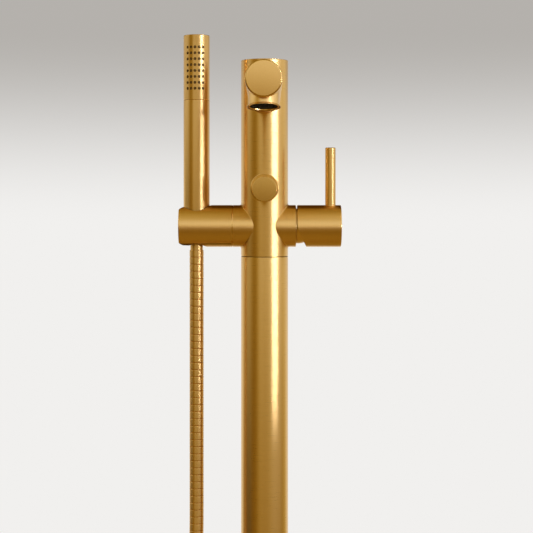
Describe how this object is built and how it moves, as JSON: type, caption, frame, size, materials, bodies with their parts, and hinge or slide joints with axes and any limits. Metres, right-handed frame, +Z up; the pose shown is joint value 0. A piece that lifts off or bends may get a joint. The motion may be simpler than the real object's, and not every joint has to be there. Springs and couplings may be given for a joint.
{
  "type": "floor-standing tub filler",
  "caption": "Floor-standing tub filler in brushed gold: tall round column, fixed spout, side lever mixer, pull diverter knob, and a stick handset on a ribbed hose.",
  "frame": {"origin": "on the floor, under the column's axis", "axes": "+Z up along the column, -Y along the spout towards the tub, +X towards the lever"},
  "size_m": [0.1695, 0.3068, 1.024],
  "materials": {
    "brushed_gold": "finely brushed gold coating",
    "plain_brass": "machined, uncoated",
    "hose_metal": "ribbed metal sleeve, gold",
    "steel": "plain stainless",
    "rubber": "matte black seal rubber",
    "nozzle_rubber": "matte dark silicone",
    "black_plastic": "matte black",
    "white_plastic": "moulded, off-white",
    "ceramic": "lapped white ceramic"
  },
  "bodies": {
    "column": {"base_flange": "plain_brass", "base_cover": "brushed_gold", "cover_seal": "rubber", "riser_tube": "brushed_gold", "riser_screws": "steel", "hot_supply_pipe": "plain_brass", "cold_supply_pipe": "plain_brass", "pipe_seals": "rubber", "pipe_spacer": "white_plastic", "mixer_body": "brushed_gold", "body_seal": "rubber", "top_cap": "brushed_gold", "top_cap_seal": "rubber", "spout_tube": "brushed_gold", "spout_seal": "rubber", "spout_end_cap": "brushed_gold", "outlet_collar": "brushed_gold", "aerator_ring": "brushed_gold", "aerator_insert": "black_plastic", "aerator_washer": "rubber", "cartridge_housing": "white_plastic", "cartridge_seals": "rubber", "fixed_disc": "ceramic", "cartridge_nut": "plain_brass", "dome_cover": "brushed_gold", "diverter_bush": "plain_brass", "diverter_seal": "rubber", "diverter_spring": "steel", "holder_arm": "brushed_gold", "holder_stud": "steel", "holder_pin": "steel", "outlet_tail": "plain_brass", "outlet_washer": "rubber", "hose_hex_nut": "brushed_gold", "outlet_elbow": "brushed_gold", "check_valve": "white_plastic", "hose": "hose_metal"},
    "lever_carrier": {"stem_carrier": "white_plastic", "pivot_pin": "steel"},
    "lever": {"cartridge_stem": "plain_brass", "lever_hub": "brushed_gold", "lever_rod": "brushed_gold", "hub_grub_screw": "steel", "hub_plug": "brushed_gold"},
    "mixing_disc": {"moving_disc": "ceramic", "disc_carrier": "white_plastic"},
    "diverter": {"diverter_spindle": "plain_brass", "diverter_washers": "rubber", "diverter_knob": "brushed_gold", "knob_screw": "steel"},
    "hose_end": {"handset_tail": "plain_brass"},
    "handset": {"handset_handle": "brushed_gold", "handset_head": "brushed_gold", "nozzle_insert": "nozzle_rubber", "handset_inlet": "plain_brass", "hose_washer": "rubber", "hose_cone_nut": "brushed_gold"}
  },
  "joints": [
    {"name": "lever_turn", "type": "hinge", "parent": "column", "child": "lever_carrier", "pos_m": [0.032, 0, 0.842], "axis": [1, 0, 0], "range_deg": [-45, 45]},
    {"name": "lever_tilt", "type": "hinge", "parent": "lever_carrier", "child": "lever", "pos_m": [0.032, 0, 0.842], "axis": [0, 1, 0], "range_deg": [0, 20]},
    {"name": "disc_slide", "type": "slide", "parent": "lever_carrier", "child": "mixing_disc", "axis": [0, 0, 1], "range_m": [0, 0.0049]},
    {"name": "diverter_pull", "type": "slide", "parent": "column", "child": "diverter", "axis": [0, -1, 0], "range_m": [0, 0.008], "stiffness_N_per_m": 200, "springref_m": -0.005, "deforming": ["diverter_spring"]},
    {"name": "handset_lift", "type": "slide", "parent": "column", "child": "hose_end", "axis": [0, 0, 1], "range_m": [0, 0.05], "deforming": ["hose"]},
    {"name": "handset_turn", "type": "hinge", "parent": "hose_end", "child": "handset", "pos_m": [-0.065, 0, 0.842], "axis": [0, 0, 1], "continuous": true}
  ],
  "couplings": [
    {"joint": "disc_slide", "follows": "lever_tilt", "m_per_rad": 0.01377}
  ]
}
